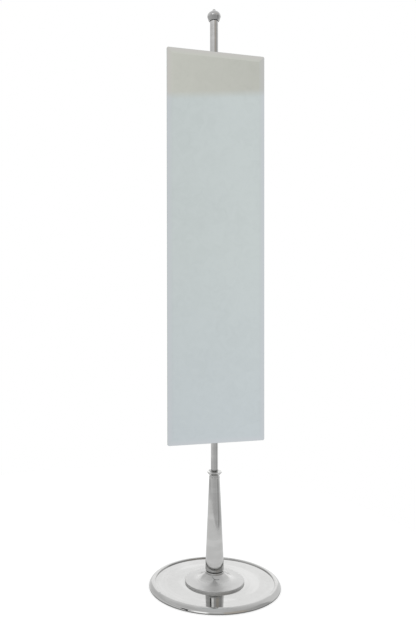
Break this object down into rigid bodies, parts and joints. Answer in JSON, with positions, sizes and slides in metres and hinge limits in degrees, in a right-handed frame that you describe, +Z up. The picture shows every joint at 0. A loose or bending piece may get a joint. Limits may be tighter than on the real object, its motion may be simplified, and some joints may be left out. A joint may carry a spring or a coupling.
{
  "type": "rectangular mirror",
  "caption": "Tall frameless bevelled mirror that turns and slides on a polished pole, with a turned column, an acorn finial and a round weighted base.",
  "frame": {"origin": "centre of the underside of the base, on the floor", "axes": "+Z up along the pole, the mirror faces -Y at rest, +X to the right of the mirror's back"},
  "size_m": [0.4149, 0.415, 1.813],
  "materials": {
    "polished_nickel": "polished",
    "mirror_plate": "polished",
    "black_board": "satin",
    "zinc_steel": "satin",
    "black_steel": "matte",
    "cast_weight": "matte",
    "nylon": "matte",
    "felt": "matte",
    "mastic": "matte"
  },
  "bodies": {
    "stand": {"felt_pad": "felt", "base_weight": "cast_weight", "base_cover": "polished_nickel", "flange_disc": "polished_nickel", "foot_ring": "polished_nickel", "column": "polished_nickel", "column_cup": "polished_nickel", "cup_set_screw": "zinc_steel", "pole": "polished_nickel", "pole_foot_plug": "zinc_steel", "pole_cap": "nylon", "tie_rod": "zinc_steel", "tie_nut": "zinc_steel", "tie_washer": "zinc_steel"},
    "height_collar": {"height_collar": "zinc_steel", "collar_set_screw": "black_steel", "thrust_washer": "nylon"},
    "mirror": {"mirror_glass": "mirror_plate", "adhesive_strips": "mastic", "backing_board": "black_board", "lower_bracket": "polished_nickel", "upper_bracket": "polished_nickel", "bracket_screws": "zinc_steel", "swivel_tube": "polished_nickel", "tube_set_screws": "black_steel", "swivel_bush": "nylon", "drag_screw": "black_steel", "drag_pad": "nylon", "top_plug": "zinc_steel", "finial_stud": "zinc_steel", "finial": "polished_nickel"}
  },
  "joints": [
    {"name": "height_slide", "type": "slide", "parent": "stand", "child": "height_collar", "axis": [0, 0, 1], "range_m": [-0.08, 0.1]},
    {"name": "mirror_swivel", "type": "hinge", "parent": "height_collar", "child": "mirror", "pos_m": [0, 0, 0.756], "axis": [0, 0, 1], "continuous": true}
  ]
}
